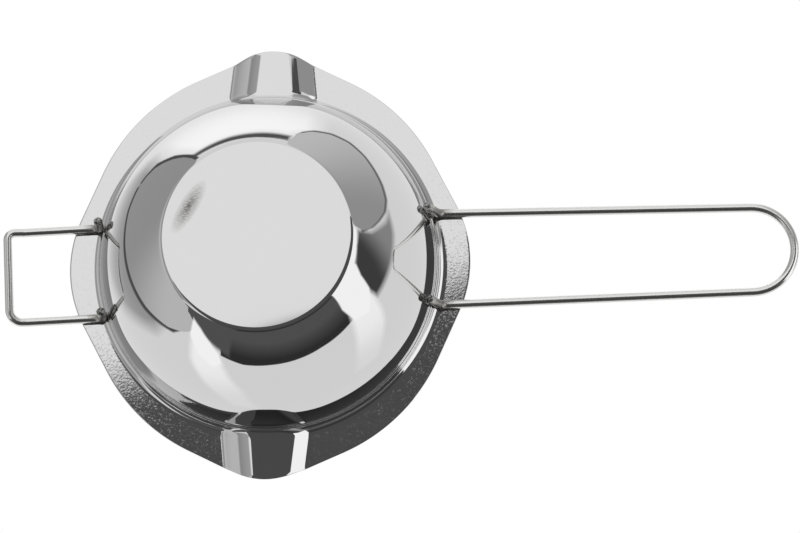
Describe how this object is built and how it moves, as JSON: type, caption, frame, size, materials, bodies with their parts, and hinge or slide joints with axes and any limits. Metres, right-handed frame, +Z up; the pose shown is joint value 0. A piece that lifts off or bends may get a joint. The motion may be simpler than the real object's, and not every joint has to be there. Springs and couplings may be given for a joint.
{
  "type": "double boiler bowl",
  "caption": "Round pressed steel melting bowl with a flat base, flared flange, opposite pouring spouts, a long wire loop handle and a short square wire hook.",
  "frame": {"origin": "centre of the underside of the flat base, on the surface that the bowl stands on", "axes": "+Z up, out of the open bowl; +X from the axis of the bowl along the handle; the hook points along -X and the two spouts point along +Y and -Y, turned by a few degrees"},
  "size_m": [0.32, 0.175, 0.062],
  "materials": {
    "bowl_steel": "polished",
    "wire_steel": "polished",
    "weld_metal": "satin"
  },
  "bodies": {
    "root": {"bowl": "bowl_steel", "handle_wire": "wire_steel", "hook_wire": "wire_steel", "handle_weld_left": "weld_metal", "handle_weld_right": "weld_metal", "hook_weld_left": "weld_metal", "hook_weld_right": "weld_metal"}
  },
  "joints": []
}
